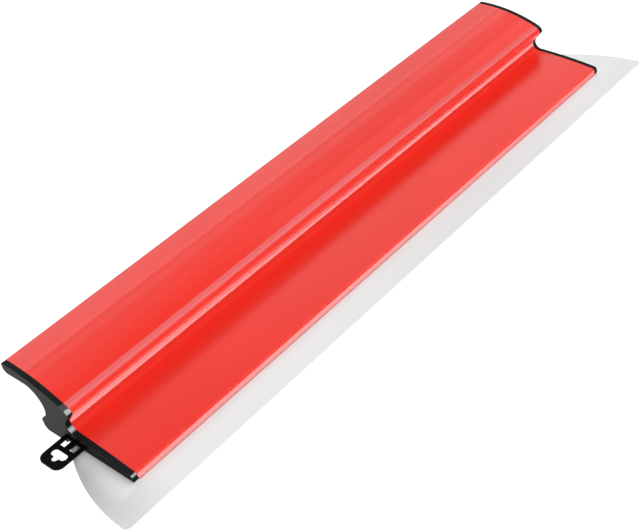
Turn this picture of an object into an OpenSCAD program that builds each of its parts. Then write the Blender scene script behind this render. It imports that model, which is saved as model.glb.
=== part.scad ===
// Wide skimming blade: a hollow aluminium grip profile that holds a thin steel blade,
// closed at both ends by push-fit caps, with a hang tab on one cap.
// +X runs along the tool towards the hang tab, +Y towards the working edge and +Z up.
// The origin is the bottom centre of the whole tool, on the surface it lies on. The blade is
// centred on it along X, and the grip sits a little nearer the hang tab.
// In the section, y is measured from the front of the flange and z from the blade's top face.

/* [Handle profile] */
// Length of the extruded profile
handle_length = 400; // [250:50:800]
// Wall thickness of the extrusion
wall = 1.8; // [1.4:0.1:1.9]
// Height of the wing's top above the blade
wing_top = 34; // [33.4:0.1:34.6]
// Radius of the finger recess under the wing
recess_radius = 10.9; // [9.5:0.1:10.9]
// Radius of the groove between the crest and the flange
notch_radius = 4.4; // [3.6:0.1:4.8]
// Height of the flange's front edge above the blade
flange_edge = 3.8; // [3.7:0.1:4.2]

/* [Blade] */
// Length of the working edge
blade_length = 450; // [436:2:460]
// Thickness of the spring steel
blade_thickness = 0.4; // [0.3:0.1:0.6]
// How far the working edge stands out in front of the flange
blade_reach = 19.1; // [12:0.1:30]
// Radius of the two working corners
blade_corner = 3; // [1:0.5:6]
// Radius of the bowed ends
blade_end_radius = 113; // [104:1:130]

/* [Clamp strip and screws] */
// Number of screws along the tool
screw_count = 8; // [4:1:12]
// Radius of the screw shank
screw_radius = 1.5; // [1.5:0.25:2]
// Length of the screw from the face of its head
screw_length = 6; // [5:0.5:7]

/* [End caps] */
// Thickness of the cap plate outside the profile
cap_thickness = 3; // [2.5:0.1:4]
// Length of the fins that push into the profile
fin_length = 10; // [6:1:20]
// Thickness of each fin
fin_thickness = 2.4; // [1.6:0.1:3]

/* [Hang tab] */
// Width of the tab along the section
tab_width = 16.2; // [15.8:0.1:18]
// How far the tab stands out from the cap's face
tab_reach = 18.2; // [17.5:0.1:24]
// Thickness of the tab
tab_thickness = 0.9; // [0.8:0.1:1.6]
// Width of the hang slot
slot_width = 11; // [8:0.1:11.6]

/* [Hidden] */
$fn = 48;

red = [0.86, 0.16, 0.12];
steel = [0.86, 0.87, 0.87];
bare_aluminium = [0.72, 0.73, 0.75];
screw_zinc = [0.62, 0.63, 0.65];
cap_grey = [0.20, 0.20, 0.21];
tab_black = [0.04, 0.04, 0.04];

arc_error = 0.02;     // largest gap between a curve and its chords
fit_gap = 0.1;        // clearance of parts that push together
skin = 0.05;          // clearance between a cap and the blade
through = 1;          // overrun of a cutting shape

// Section of the profile
wing_back = 87.1;     // wing's rear end
wing_under = 27.6;    // underside of the wing
recess_front = 60.6;  // deepest line of the finger recess
recess_low = 10.9;    // height where the recess turns out towards the heel
heel_back = 68.3;     // rear of the foot
heel_high = 5.45;     // top of the foot's rear face
grip_x = 1;           // middle of the grip, from the blade's middle
foot_drop = 2;        // how far the foot's underside is below the blade's top face
foot_front = 50.5;    // front of the foot, where the blade's seat begins
crest_front = 38.6;   // corner of the crest before it is rounded
crest_high = 21.7;
land_front = 40.7;    // flat land along the crest, from its front corner
land_low = 24.45;
land_back = 43.9;     // to its rear corner
land_high = 26.1;
wing_slope = 22.6;    // the wing's fall towards the land, in degrees
wing_bend = land_back + (wing_top - land_high) / tan(wing_slope);
wing_tip = 1.4;       // radius of the wing's rear top corner
// Largest crown that joins the level rear of the wing to its front slope
wing_crown = min(norm([wing_bend - land_back, wing_top - land_high]),
                 wing_back - wing_tip - wing_bend - 0.1) / tan(wing_slope / 2) - 0.5;
notch_back = 49.9;    // corner of the groove before it is rounded
notch_low = 8.8;
flange_bend = 20;     // where the flange's two slopes cross
flange_high = 7.1;
flange_crown = 340;   // radius that blends them
outline = [
    [0.5, 0, 0.3],
    [0.3, flange_edge, 1.9],
    [-flange_bend, flange_high, flange_crown],
    [-notch_back, notch_low, notch_radius],
    [-crest_front, crest_high, 1.9],
    [-land_front, land_low, 1.2],
    [-land_back, land_high, 1],
    [-wing_bend, wing_top, wing_crown],
    [-wing_back, wing_top, wing_tip],
    [-wing_back, wing_under, 2.6],
    [-recess_front, wing_under, recess_radius],
    [-recess_front, recess_low, recess_radius],
    [-heel_back, heel_high, 3],
    [-heel_back, -foot_drop, 3.3],
    [-foot_front, -foot_drop, 0.3],
    [-foot_front, 0, 0.3]];

// Solid rib that the screws bite into
rib_y = -30;
rib_width = 9;

blade_back = -50;                                  // rear edge of the blade
blade_half = blade_length / 2;
bow_offset = 1.6;                                  // widest line of the bowed ends, behind the edge
screw_pitch = handle_length / screw_count;
screw_reach = screw_length - foot_drop;            // depth of a screw above the blade
head_height = 1.25;                                // cone of a 90 degree head
head_radius = screw_radius + head_height;
strip_front = -12;
strip_length = handle_length - 4;

tab_y = -41.6;                                     // middle of the tab
tab_top = 4.2;                                     // height of its upper face
tab_corner = 4.5;
window_x = 1.2;                                    // first edge of the two windows
window_y = 3.6;                                    // their distance from the middle
window_length = 4.6;
window_width = 3.9;
slot_r = 2.1;                                      // half the hang slot's height
slot_x = 10.3;                                     // its distance from the cap's face
slot_bump = 2.4;                                   // offset of the bump for a round peg
tab_base_depth = 1.2;                              // thickness of the tab's base plate
tab_base_top = 5.4;                                // its height above the blade
face_rim = 0.9;                                    // rim of the cap around that plate
peg_radius = 1.2;
peg_length = 1.2;
peg_z = 2.6;
fin_places = [-78, -69, -57, -52.5, -42, -15];     // y of each fin

// The section's y and z become the tool's Y and Z
middle = (wing_back - blade_reach) / 2;

function unit(v) = v / norm(v);
function yz(p) = [p[0], p[1]];
function left(v) = unit([-v[1], v[0]]);

// Arc that rounds the corner b of the path a, b, c to radius r
function corner(a, b, c, r) =
    let (u = unit(a - b),
         v = unit(c - b),
         half = acos(u * v) / 2,
         centre = b + unit(u + v) * r / sin(half),
         p = b + u * r / tan(half) - centre,
         q = b + v * r / tan(half) - centre,
         from = atan2(p[1], p[0]),
         turn = (atan2(q[1], q[0]) - from + 540) % 360 - 180,
         n = ceil(abs(turn) / (2 * acos(1 - min(arc_error / r, 0.5)))))
    [for (i = [0:n]) centre + r * [cos(from + turn * i / n), sin(from + turn * i / n)]];

// Closed path with every corner [y, z, r] rounded
function rounded(c) =
    let (n = len(c))
    [for (i = [0:n - 1])
        each corner(yz(c[(i + n - 1) % n]), yz(c[i]), yz(c[(i + 1) % n]), c[i][2])];

// Corners of the same path moved w into the material, with radii to match
function inset(c, w) =
    let (n = len(c))
    [for (i = [0:n - 1])
        let (before = yz(c[i]) - yz(c[(i + n - 1) % n]),
             after = yz(c[(i + 1) % n]) - yz(c[i]),
             n1 = left(before),
             n2 = left(after),
             p = yz(c[i]) + w * (n1 + n2) / (1 + n1 * n2),
             convex = before[0] * after[1] - before[1] * after[0] > 0)
        [p[0], p[1], convex ? max(c[i][2] - w, 0.1) : c[i][2] + w]];

// Extrudes a section drawn in y and z along X, from x0 to x1
module along(x0, x1)
    translate([x0, middle, foot_drop])
        rotate([90, 0, 90])
            linear_extrude(x1 - x0)
                children();

module on_grip()
    translate([grip_x, 0, 0])
        children();

// Band of the section between two y values
module band(y0, y1)
    translate([y0, -foot_drop - through])
        square([y1 - y0, wing_top + foot_drop + 2 * through]);

module section(w = 0)
    polygon(rounded(w == 0 ? outline : inset(outline, w)));

// Places a shape on every screw's axis, with z = 0 on the blade's top face
module at_screws()
    for (i = [0:screw_count - 1])
        translate([(i + 0.5) * screw_pitch - handle_length / 2, middle + rib_y, foot_drop])
            children();

module handle_profile()
    color(red)
        on_grip() difference() {
            along(-handle_length / 2, handle_length / 2)
                difference() {
                    section();
                    difference() {
                        section(wall);
                        band(rib_y - rib_width / 2, rib_y + rib_width / 2);
                    }
                }
            at_screws()
                translate([0, 0, -through])
                    cylinder(r = screw_radius + 0.02, h = screw_reach + 0.2 + through);
        }

// Flat blade seen from above: bowed ends and small rounded working corners
module blade_shape() {
    corner_y = blade_reach - blade_corner;
    depth = corner_y - blade_back;
    union() {
        intersection() {
            translate([-blade_half, blade_back])
                square([blade_length, depth]);
            union() {
                translate([blade_end_radius - blade_half, blade_back])
                    square([blade_length - 2 * blade_end_radius, depth]);
                for (side = [-1, 1])
                    translate([side * (blade_half - blade_end_radius), blade_reach - bow_offset])
                        circle(r = blade_end_radius, $fn = 240);
            }
        }
        translate([-blade_half + blade_corner, corner_y - through])
            square([blade_length - 2 * blade_corner, blade_corner + through]);
        for (side = [-1, 1])
            translate([side * (blade_half - blade_corner), corner_y])
                circle(r = blade_corner);
    }
}

module blade()
    color(steel)
        difference() {
            translate([0, middle, foot_drop - blade_thickness])
                linear_extrude(blade_thickness)
                    blade_shape();
            on_grip() at_screws()
                translate([0, 0, -foot_drop])
                    cylinder(r = screw_radius + fit_gap, h = foot_drop + through);
        }

module clamp_strip()
    color(bare_aluminium)
        on_grip() difference() {
            translate([-strip_length / 2, middle + blade_back, 0])
                cube([strip_length, strip_front - blade_back, foot_drop - blade_thickness]);
            at_screws()
                translate([0, 0, -foot_drop]) {
                    cylinder(r = screw_radius + fit_gap, h = foot_drop + through);
                    cylinder(r1 = head_radius + fit_gap,
                             r2 = screw_radius + fit_gap, h = head_height);
                }
        }

module clamp_screws()
    color(screw_zinc)
        on_grip() at_screws()
            translate([0, 0, -foot_drop])
                difference() {
                    union() {
                        cylinder(r1 = head_radius, r2 = screw_radius, h = head_height);
                        cylinder(r = screw_radius, h = screw_length);
                    }
                    translate([0, 0, -through])
                        cylinder(r = 1.15, h = through + 1, $fn = 6);
                }

// Cap on the +X end: a plate the shape of the section, and fins inside the profile
module cap() {
    end = handle_length / 2;
    difference() {
        along(end, end + cap_thickness)
            section();
        along(end - through, end + cap_thickness + through)
            translate([-foot_front, -foot_drop])
                square([foot_front + through, foot_drop + skin]);
    }
    along(end - fin_length, end + 0.5)
        intersection() {
            section(wall + fit_gap);
            for (y = fin_places)
                band(y - fin_thickness / 2, y + fin_thickness / 2);
        }
}

// Outline of the tab's base plate on the flange's end, inside the cap's rim at the front
module tab_base() {
    back = tab_y - tab_width / 2;
    union() {
        intersection() {
            section(face_rim);
            translate([back, skin])
                square([-back, tab_base_top - skin]);
        }
        translate([back, skin])
            square([-back - face_rim, face_rim]);
    }
}

module at_pegs()
    for (y = [-38, -14])
        translate([handle_length / 2 + cap_thickness - tab_base_depth,
                   middle + y, foot_drop + peg_z])
            rotate([0, -90, 0])
                children();

module hanger_end_cap()
    color(cap_grey)
        on_grip() difference() {
            cap();
            along(handle_length / 2 + cap_thickness - tab_base_depth,
                  handle_length / 2 + cap_thickness + through)
                tab_base();
            at_pegs()
                cylinder(r = peg_radius, h = peg_length);
        }

module plain_end_cap()
    color(cap_grey)
        on_grip() mirror([1, 0, 0])
            cap();

// Tab seen from above, with x measured from the cap's face
module tab_shape() {
    difference() {
        union() {
            translate([-fit_gap, -tab_width / 2])
                square([tab_reach - tab_corner + fit_gap, tab_width]);
            translate([0, -tab_width / 2 + tab_corner])
                square([tab_reach, tab_width - 2 * tab_corner]);
            for (side = [-1, 1])
                translate([tab_reach - tab_corner, side * (tab_width / 2 - tab_corner)])
                    circle(r = tab_corner);
        }
        for (side = [-1, 1]) {
            translate([window_x, side * window_y - window_width / 2])
                square([window_length, window_width]);
            translate([slot_x, side * (slot_width / 2 - slot_r)])
                circle(r = slot_r);
        }
        translate([slot_x - slot_r, slot_r - slot_width / 2])
            square([2 * slot_r, slot_width - 2 * slot_r]);
        translate([slot_x + slot_bump, 0])
            circle(r = slot_r);
    }
}

module hang_tab()
    color(tab_black) on_grip() {
        along(handle_length / 2 + cap_thickness - tab_base_depth,
              handle_length / 2 + cap_thickness)
            tab_base();
        translate([handle_length / 2 + cap_thickness, middle + tab_y,
                   foot_drop + tab_top - tab_thickness])
            linear_extrude(tab_thickness)
                tab_shape();
        at_pegs()
            cylinder(r = peg_radius, h = peg_length);
    }

handle_profile();
blade();
clamp_strip();
clamp_screws();
hanger_end_cap();
plain_end_cap();
hang_tab();
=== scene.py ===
import math
import bpy
from mathutils import Matrix, Vector


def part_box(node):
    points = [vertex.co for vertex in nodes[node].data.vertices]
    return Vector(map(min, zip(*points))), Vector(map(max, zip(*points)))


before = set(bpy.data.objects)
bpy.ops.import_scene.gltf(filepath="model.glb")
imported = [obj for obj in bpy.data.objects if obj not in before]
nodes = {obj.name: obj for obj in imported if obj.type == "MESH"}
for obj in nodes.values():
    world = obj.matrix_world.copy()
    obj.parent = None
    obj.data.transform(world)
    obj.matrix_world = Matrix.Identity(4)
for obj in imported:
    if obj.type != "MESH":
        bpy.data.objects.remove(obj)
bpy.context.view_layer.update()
scene = bpy.context.scene

MM = 0.001

# Base colours
RED = (0.69, 0.0190, 0.0088)
RED_WORN = (0.78, 0.075, 0.06)
RED_LAND_SHEEN = (0.50, 0.025, 0.034)            # painted reflection band on the flat land along the crest
RED_GROOVE_SHADE = (0.66, 0.024, 0.0145)           # painted shade in the groove and on the flange before it
RED_OVERHANG_LIGHT = (1.0, 0.045, 0.030)              # painted light on the groove's shaded overhanging wall
STEEL = (0.70, 0.70, 0.70)
STEEL_WORN = (0.9, 0.9, 0.9)
STEEL_PAINTED_LIGHT = (0.73, 0.73, 0.73)           # painted light: lighter steel without mirror beside the flange and the caps, over their shadow and reflection
FLANGE_MIRROR_RED = (0.45, 0.08, 0.07)              # painted reflection of the red flange on the blade where they meet
ALUMINIUM = (0.62, 0.63, 0.65)
ZINC = (0.55, 0.57, 0.60)
CAP_GREY = (0.0085, 0.0095, 0.010)
TAB_BLACK = (0.002, 0.002, 0.002)
BLACK = (0.0, 0.0, 0.0)

# The tool and the camera
profile_low, profile_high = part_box("handle_profile")
blade_low, blade_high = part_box("blade")
END_X = profile_high.x                     # the profile's near end
GRIP_X = (profile_low.x + profile_high.x) / 2
FRONT_Y = profile_high.y - 0.5 * MM        # front of the flange
TOP_Z = blade_high.z                       # the blade's upper face, which the flange lies on
LENS = 65.88
CAMERA_AT = Vector((GRIP_X + 373.92 * MM, FRONT_Y + 358.01 * MM, TOP_Z + 390.80 * MM))
CAMERA_LOOK = Vector((-0.5218, -0.6002, -0.6063))
CAMERA_UP = Vector((-0.5531, -0.3032, 0.7761))
LEAN = (0.39, 0.66, 0.64)                  # halfway between the camera and the key light

# Places on the tool's section in millimetres, y from the flange's front and z from the
# blade's top face. A pair is a part's two limits, or where a soft change starts and ends.
LAND_Y = (-44.0, -40.3)                    # flat land along the crest
LAND_LINE_Y = (-41.7, -40.2)               # its bright front line
LAND_Z = (23.0, 24.0)
SHADE_Y = (-50.0, -26.0)                   # the groove and the flange before it
SHADE_Z = (12.0, 18.0)
GROOVE_Y = (-47.0, -36.0)                  # the groove's wall and the crest's nose
GROOVE_ROUGH_Y = (-48.0, -38.0)
GROOVE_DULL_Y = (-52.0, -34.0)
GROOVE_TOP_Z = (20.5, 22.0)
OVERHANG_Z = (19.0, 20.5)
WALL_Z = (11.0, 15.0)                      # from the groove's curve to its wall
WALL_TOP_Z = (14.0, 16.0)
NOSE_Z = (19.8, 23.0)
TAIL_Y = (-87.2, -85.2)                    # rear edge of the wing, darkened with painted shade
FLANGE_ROUGH_Y = (-38.0, -32.0)
FLANGE_SHINE_Y = (-40.0, -34.0)
FRONT_EDGE_Y = (-3.0, -2.0)
FLANGE_MIRROR_Y = (0.6, 1.6)
BLADE_CLEAR_Y = (1.5, 6.0)
BLADE_SHADE_Y = (-30.0, 32.0)

# ---------------------------------------------------------------- node graphs


class Graph:
    """Short calls that add shader nodes and link them."""

    def __init__(self, tree):
        self.tree = tree

    def add(self, kind, inputs=None, **settings):
        node = self.tree.nodes.new("ShaderNode" + kind)
        for name, value in settings.items():
            setattr(node, name, value)
        for key, value in (inputs or {}).items():
            self.put(node.inputs[key], value)
        return node

    def put(self, socket, value):
        if isinstance(value, bpy.types.NodeSocket):
            self.tree.links.new(value, socket)
        else:
            socket.default_value = value

    def math(self, operation, a, b=0.0):
        return self.add("Math", {0: a, 1: b}, operation=operation).outputs[0]

    def times(self, first, *others):
        for other in others:
            first = self.math("MULTIPLY", first, other)
        return first

    def plus(self, first, *others):
        for other in others:
            first = self.math("ADD", first, other)
        return first

    def minus(self, first, *others):
        for other in others:
            first = self.math("SUBTRACT", first, other)
        return first

    def ramp(self, value, low, high, out_low=0.0, out_high=1.0):
        """out_low below low, out_high above high, and a smooth step between."""
        inputs = {"Value": value, "From Min": low, "From Max": high, "To Min": out_low, "To Max": out_high}
        return self.add("MapRange", inputs, interpolation_type="SMOOTHSTEP").outputs[0]

    def window(self, value, low, high, soft):
        """One between low and high, falling to nought over soft at each side."""
        rise = self.ramp(value, low - soft / 2, low + soft / 2)
        fall = self.ramp(value, high - soft / 2, high + soft / 2, 1.0, 0.0)
        return self.times(rise, fall)

    def mix(self, factor, a, b):
        node = self.add("Mix", data_type="RGBA")
        for socket, value in zip((node.inputs[0], node.inputs[6], node.inputs[7]), (factor, a, b)):
            self.put(socket, value)
        return node.outputs[2]

    def noise(self, scale, detail=2.0, roughness=0.5):
        """Noise in the object's own place, with scale a number per metre or one for each axis."""
        if not isinstance(scale, tuple):
            scale = (scale, scale, scale)
        place = self.add("TexCoord").outputs["Object"]
        mapping = self.add("Mapping", {"Vector": place, "Scale": scale}).outputs[0]
        inputs = {"Vector": mapping, "Scale": 1.0, "Detail": detail, "Roughness": roughness}
        return self.add("TexNoise", inputs).outputs["Fac"]

    def spread(self, noise, weak=0.0, strong=1.0):
        """A value for weak noise and one for strong noise, over the range that noise mostly fills."""
        return self.ramp(noise, 0.3, 0.7, weak, strong)

    def bump(self, height, distance, normal=None):
        inputs = {"Height": height, "Distance": distance, "Strength": 1.0}
        if normal is not None:
            inputs["Normal"] = normal
        return self.add("Bump", inputs).outputs[0]

    def leaning(self):
        """A constant normal, for a gleam that faces the key light wherever it is put."""
        node = self.add("Normal")
        node.outputs[0].default_value = LEAN
        return node.outputs[0]

    def facing(self, direction):
        """How far the surface faces a direction, up to one."""
        normal = self.add("NewGeometry").outputs["Normal"]
        dot = self.add("VectorMath", {0: normal, 1: direction}, operation="DOT_PRODUCT")
        return dot.outputs["Value"]

    def edges(self, radius):
        """Nought on flat ground and up to one on edges, from how far a bevel turns the normal."""
        soft = self.add("Bevel", {"Radius": radius}, samples=4).outputs[0]
        return self.ramp(self.facing(soft), 0.98, 0.80)

    def locate(self):
        """Keeps the object's own place as the sockets x, y and z, for the calls below."""
        place = self.add("TexCoord").outputs["Object"]
        self.x, self.y, self.z = self.add("SeparateXYZ", {0: place}).outputs

    def along(self, start, end, out_start=0.0, out_end=1.0):
        """Smooth step along the tool, where one is the profile's near end and nought its middle."""
        return self.ramp(self.x, start * END_X, end * END_X, out_start, out_end)

    def across(self, part, out_back=0.0, out_front=1.0):
        """Smooth step between a part's two places in y."""
        back, front = (FRONT_Y + y * MM for y in part)
        return self.ramp(self.y, back, front, out_back, out_front)

    def strip(self, part, soft):
        """One within a part's two places in y, falling to nought over soft millimetres."""
        back, front = (FRONT_Y + y * MM for y in part)
        return self.window(self.y, back, front, soft * MM)

    def above(self, part, out_low=0.0, out_high=1.0):
        """Smooth step between a part's two heights."""
        low, high = (TOP_Z + z * MM for z in part)
        return self.ramp(self.z, low, high, out_low, out_high)


def material(name):
    made = bpy.data.materials.new(name)
    made.use_nodes = True
    graph = Graph(made.node_tree)
    graph.shader = made.node_tree.nodes["Principled BSDF"]
    graph.material = made
    return graph


def rgb(color, factor=1.0, lift=0.0):
    return (*[part * factor + lift for part in color], 1.0)


def dress(graph, **values):
    """Sets the Principled shader's inputs by name, with _ for a space."""
    for name, value in values.items():
        graph.put(graph.shader.inputs[name.replace("_", " ")], value)
    return graph.material


def dress_gleaming(graph, gleam, **values):
    """The same, with a clear coat that gleams forwards and up as strongly as gleam says."""
    return dress(graph, Coat_Weight=gleam, Coat_Roughness=0.12, Coat_IOR=1.8,
                 Coat_Normal=graph.leaning(), **values)


# ---------------------------------------------------------------- red coating


def coating_color(g, worn):
    """Red with light clouds and worn edges, a painted reflection band on the land, painted shade in the
    groove, painted light on its overhanging wall and painted shade along the rear edge.
    """
    base = g.mix(g.spread(g.noise(14.0)), rgb(RED), rgb(RED, 1.06))
    base = g.mix(worn, base, rgb(RED_WORN))
    # painted reflection: a paler, duller red band along the crest's land
    land_sheen = g.times(g.strip(LAND_Y, 0.6), g.above(LAND_Z), 0.55)
    base = g.mix(land_sheen, base, rgb(RED_LAND_SHEEN))
    # painted shade: deeper red in the groove and on the flange before it
    in_shade = g.times(g.strip(SHADE_Y, 8.0), g.above(SHADE_Z, 1.0, 0.0))
    base = g.mix(in_shade, base, rgb(RED_GROOVE_SHADE))
    # painted light: brighter red where the groove's wall overhangs and faces down into shade
    facing_down = g.ramp(g.facing((0, 0, 1)), -0.30, -0.05, 1.0, 0.0)
    overhang_light = g.times(g.strip(GROOVE_Y, 0.5), facing_down, g.above(OVERHANG_Z, 1.0, 0.0))
    base = g.mix(overhang_light, base, rgb(RED_OVERHANG_LIGHT))
    # painted shade: the wing's rear edge darkened towards black
    return g.mix(g.across(TAIL_Y, 0.6, 0.0), base, rgb(BLACK))


def coating_roughness(g, streaks, worn):
    """Smooth on the wing, rougher on the flange, in the groove and where worn."""
    on_flange = g.across(FLANGE_ROUGH_Y, 0.0, 0.17)
    in_groove = g.times(g.strip(GROOVE_ROUGH_Y, 3.0), g.above(GROOVE_TOP_Z, 0.24, 0.0))
    return g.plus(g.spread(streaks, 0.08, 0.09), g.times(worn, 0.3), on_flange, in_groove)


def coating_gleam(g):
    """The groove's wall, the crest's nose, the land's front line and the flange's front edge."""
    low_wall = g.along(-1.0, -0.3, 0.82, 1.0)
    high_wall = g.along(-0.5, 1.0, 0.08, 0.48)
    wall = g.times(g.above(WALL_Z, low_wall, high_wall), g.above(NOSE_Z, 1.0, 0.0))
    up = g.facing((0, 0, 1))
    tilt = g.minus(up, g.along(-1.0, 1.0, 0.25, 0.0))
    upright = g.math("MAXIMUM", g.ramp(tilt, -0.10, 0.22, 1.0, 0.0), g.above(WALL_TOP_Z))
    groove = g.times(g.strip(GROOVE_Y, 0.5), wall, upright)
    front_edge = g.times(g.across(FRONT_EDGE_Y), g.ramp(up, 0.33, 0.62, g.along(-1.0, 0.0, 0.40, 0.62), 0.0))
    land_line = g.times(g.strip(LAND_LINE_Y, 0.3), g.above(LAND_Z), 0.10)
    return g.plus(groove, front_edge, land_line)


def coating_shine(g):
    """Mirror strength, weaker on the near end of the flange and in the groove."""
    near_flange = g.times(g.across(FLANGE_SHINE_Y), g.along(0.0, 1.0, 0.0, 0.2))
    in_groove = g.times(g.strip(GROOVE_DULL_Y, 6.0), g.above(GROOVE_TOP_Z, 0.42, 0.0))
    return g.minus(0.5, near_flange, in_groove)


def red_coating():
    g = material("red_coating")
    g.locate()
    streaks = g.noise((2.5, 1400.0, 1400.0), 3.0)
    peel = g.noise(520.0, 1.0)
    worn = g.times(g.edges(0.5 * MM), g.ramp(g.noise(260.0, 4.0), 0.45, 0.75), 0.5)
    normal = g.bump(streaks, 0.001 * MM, g.bump(peel, 0.004 * MM))
    return dress_gleaming(g, coating_gleam(g), Base_Color=coating_color(g, worn),
                          Roughness=coating_roughness(g, streaks, worn), Normal=normal,
                          Specular_IOR_Level=coating_shine(g))


# ---------------------------------------------------------------- steel, metal and plastic


def steel_color(g, lines, clear):
    """Light steel with painted shade towards the near end, lighter mirror-free steel painted where it isn't
    clear of the profile, and a painted reflection of the red flange in front of it.
    """
    base = g.mix(g.spread(lines), rgb(STEEL, 0.99), rgb(STEEL, 1.01))
    base = g.mix(g.ramp(g.noise(9.0), 0.35, 0.75, 0.0, 0.5), base, rgb(STEEL, 0.97))
    base = g.mix(g.times(g.edges(0.15 * MM), 0.5), base, rgb(STEEL_WORN))
    # painted shade: the blade darkened beside the near cap and tab, past the profile's end
    past_end = g.ramp(g.x, END_X - 12 * MM, END_X + 22 * MM)
    base = g.mix(g.times(past_end, g.across(BLADE_SHADE_Y, 0.42, 0.12)), base, rgb(BLACK))
    # painted shade: the blade's near half darkened a little
    base = g.mix(g.along(-1.0, 0.0, 0.0, 0.10), base, rgb(BLACK))
    # painted light: lighter, mirror-free steel where the flange and caps would shade and mirror the blade
    base = g.mix(clear, rgb(STEEL_PAINTED_LIGHT), base)
    # painted reflection: red tint on the blade just in front of the flange
    flange_mirror = g.times(g.across(FLANGE_MIRROR_Y, 0.8, 0.0), g.math("LESS_THAN", g.math("ABSOLUTE", g.x), END_X))
    return g.mix(flange_mirror, base, rgb(FLANGE_MIRROR_RED))


def blade_steel():
    """Steel drawn along the blade, duller and painted lighter close to the flange and the end caps, where
    their shadow and reflection would fall.
    """
    g = material("blade_steel")
    g.locate()
    lines = g.noise((5.0, 2200.0, 1.0), 4.0, 0.65)
    beyond = g.ramp(g.math("ABSOLUTE", g.x), END_X + 3 * MM, END_X + 20 * MM)
    clear = g.math("MAXIMUM", beyond, g.across(BLADE_CLEAR_Y))
    return dress(g, Base_Color=steel_color(g, lines, clear), Metallic=g.times(clear, 0.4),
                 Specular_IOR_Level=g.times(clear, 0.5), Roughness=g.spread(lines, 0.28, 0.295),
                 Anisotropic=0.5, Normal=g.bump(lines, 0.0003 * MM))


def metal(name, color, lines_scale, roughness):
    """Bare metal with fine lines, bright edges and rougher spots."""
    g = material(name)
    lines = g.noise(lines_scale, 4.0, 0.6)
    spots = g.noise(60.0, 3.0)
    base = g.mix(g.spread(lines), rgb(color, 0.9), rgb(color))
    base = g.mix(g.edges(0.3 * MM), base, rgb(color, 1.25))
    rough = g.plus(g.spread(lines, roughness - 0.04, roughness + 0.04), g.ramp(spots, 0.4, 0.8, 0.0, 0.08))
    return dress(g, Base_Color=base, Metallic=1.0, Roughness=rough, Normal=g.bump(lines, 0.004 * MM))


def plastic(name, color, roughness, specular, rim_shine=0.0):
    """Moulded plastic with a fine grain, and a painted highlight on its near rounded rim where it faces
    forwards.
    """
    g = material(name)
    g.locate()
    grain = g.noise(2600.0, 2.0, 0.6)
    rubbed = g.times(g.edges(0.4 * MM), g.ramp(g.noise(300.0, 3.0), 0.4, 0.7, 0.2, 0.7))
    base = g.mix(g.spread(g.noise(35.0, 3.0)), rgb(color, 0.9), rgb(color, 1.1))
    base = g.mix(rubbed, base, rgb(color, 1.6, 0.004))
    gleam = g.times(g.ramp(g.facing(LEAN), 0.86, 0.91), g.along(0.0, 0.5), rim_shine)
    return dress_gleaming(g, gleam, Base_Color=base, Specular_IOR_Level=specular,
                          Roughness=g.spread(grain, roughness - 0.04, roughness + 0.04),
                          Normal=g.bump(grain, 0.012 * MM))


# ---------------------------------------------------------------- CAD pieces

SAME_PLACE = 1e-5
WELD_DISTANCE = 1e-6
FLAT_ANGLE = math.radians(0.3)
SHARP_ANGLE = math.radians(40)
CAP_ROUNDING = 1.6 * MM


def near(value, target):
    return abs(value - target) < SAME_PLACE


def rim_of(node, face_x, back_x):
    """Vertices on the end plane face_x that have a partner straight behind them on back_x."""
    points = [v.co for v in node.data.vertices]
    behind = {(round(p.y / SAME_PLACE), round(p.z / SAME_PLACE)) for p in points if near(p.x, back_x)}
    return [i for i, p in enumerate(points)
            if near(p.x, face_x) and (round(p.y / SAME_PLACE), round(p.z / SAME_PLACE)) in behind]


def finish_surface(name, finish, bevel, segments=2, rim=None):
    """Joins the split CAD facets, rounds the sharp edges or the rim, and shades the result smoothly."""
    node = nodes[name]
    node.data.materials.clear()
    node.data.materials.append(finish)
    for face in node.data.polygons:
        face.use_smooth = True
    weld = node.modifiers.new("weld", "WELD")
    weld.merge_threshold = WELD_DISTANCE
    flat = node.modifiers.new("flat", "DECIMATE")
    flat.decimate_type = "DISSOLVE"
    flat.angle_limit = FLAT_ANGLE
    edge = node.modifiers.new("edge", "BEVEL")
    edge.width = bevel
    edge.segments = segments
    edge.use_clamp_overlap = True
    if rim is None:
        edge.limit_method = "ANGLE"
        edge.angle_limit = SHARP_ANGLE
    else:
        edge.limit_method = "VGROUP"
        edge.vertex_group = "rim"
        node.vertex_groups.new(name="rim").add(rim, 1.0, "REPLACE")
    shade = node.modifiers.new("shade", "WEIGHTED_NORMAL")
    shade.keep_sharp = True


def finish_caps(finish):
    near_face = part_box("hanger_end_cap")[1].x
    far_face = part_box("plain_end_cap")[0].x
    for name, face, back in (("hanger_end_cap", near_face, profile_high.x),
                             ("plain_end_cap", far_face, profile_low.x)):
        rim = rim_of(nodes[name], face, back)
        finish_surface(name, finish, CAP_ROUNDING, segments=5, rim=rim)


finish_surface("handle_profile", red_coating(), bevel=0.15 * MM)
finish_surface("blade", blade_steel(), bevel=0.05 * MM)
finish_surface("clamp_strip", metal("bare_aluminium", ALUMINIUM, (4.0, 900.0, 900.0), 0.34), bevel=0.2 * MM)
finish_surface("clamp_screws", metal("zinc_steel", ZINC, 700.0, 0.3), bevel=0.08 * MM)
finish_surface("hang_tab", plastic("tab_plastic", TAB_BLACK, 0.5, 0.06), bevel=0.15 * MM)
finish_caps(plastic("cap_plastic", CAP_GREY, 0.45, 0.05, rim_shine=1.0))

# ---------------------------------------------------------------- floor, light and camera

FLOOR_SIZE = 8.0
FLOOR_GLOW = 0.95


def build_floor():
    bpy.ops.mesh.primitive_plane_add(size=FLOOR_SIZE)
    floor = bpy.context.object
    floor.name = "floor"
    g = material("floor")
    speck = g.spread(g.noise(3.0), 0.29, 0.31)
    finish = dress(g, Base_Color=speck, Roughness=0.9, Emission_Color=rgb((1, 1, 1)),
                   Emission_Strength=FLOOR_GLOW)
    floor.data.materials.append(finish)


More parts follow.
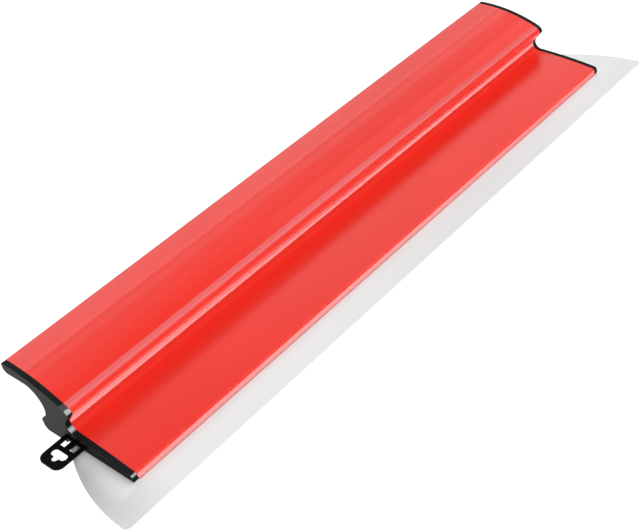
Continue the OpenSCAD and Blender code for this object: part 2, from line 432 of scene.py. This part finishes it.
# Soft panels around the tool. Each is a window in the angle about the tool's length, in degrees
# from straight up towards the working edge, and in the direction's part along the tool.
# Columns: lowest and highest angle, lowest and highest part, softness in degrees, radiance
PANELS = [
    (-65, -36.2, -1.1, 0.0, 1.2, 1.17),       # rear wall
    (-65, -36.2, -0.62, 0.0, 1.2, 0.37),      # and its brighter near parts
    (-65, -36.2, -0.42, 0.0, 1.2, 0.18),
    (-36.2, -13, -1.1, 0.0, 14.0, 0.95),      # rear ceiling
    (-36.2, -28, -1.1, 0.0, 5.0, 0.45),       # and its lower edge
    (-13, 0, -1.1, 0.0, 8.0, 0.45),           # ceiling
    (-13, 0, -1.1, -0.50, 8.0, 0.62),         # and its brighter far half
    (2, 14, -1.1, 0.0, 1.5, 2.0),             # strip over the crest
    (2, 14, -0.62, 0.0, 1.5, 0.75),           # and its brighter near part
    (14, 26, -1.1, 0.0, 1.5, 2.6),            # strip in front of that one
    (14, 85, -1.1, 1.1, 4.0, 0.40),           # front
    (36, 64, -0.25, 0.62, 8.0, 5.5),          # key light in front, towards the near end
]
PART_SOFTNESS = 0.12


def build_world():
    """Lights the tool with the panels, and shows the camera plain white beyond the floor."""
    world = bpy.data.worlds.new("studio")
    scene.world = world
    world.use_nodes = True
    g = Graph(world.node_tree)
    direction = g.add("SeparateXYZ", {0: g.add("TexCoord").outputs["Generated"]})
    turn = g.math("ARCTAN2", direction.outputs[1], direction.outputs[2])
    angle = g.math("MULTIPLY", turn, math.degrees(1))
    total = 0.0
    for low, high, part_low, part_high, soft, radiance in PANELS:
        band = g.window(angle, low, high, soft)
        part = g.window(direction.outputs[0], part_low, part_high, PART_SOFTNESS)
        total = g.plus(total, g.times(band, part, radiance))
    seen = g.add("LightPath").outputs["Is Camera Ray"]
    background = world.node_tree.nodes["Background"]
    background.inputs["Color"].default_value = rgb((1, 1, 1))
    g.put(background.inputs["Strength"], g.math("MAXIMUM", total, seen))


def build_camera():
    camera = bpy.data.objects.new("camera", bpy.data.cameras.new("camera"))
    scene.collection.objects.link(camera)
    scene.camera = camera
    camera.data.lens = LENS
    back = -CAMERA_LOOK.normalized()
    right = CAMERA_UP.cross(back).normalized()
    up = back.cross(right)
    turn = Matrix((right, up, back)).transposed().to_4x4()
    camera.matrix_world = Matrix.Translation(CAMERA_AT) @ turn


build_floor()
build_world()
build_camera()
scene.view_settings.view_transform = "Standard"
scene.cycles.use_denoising = True
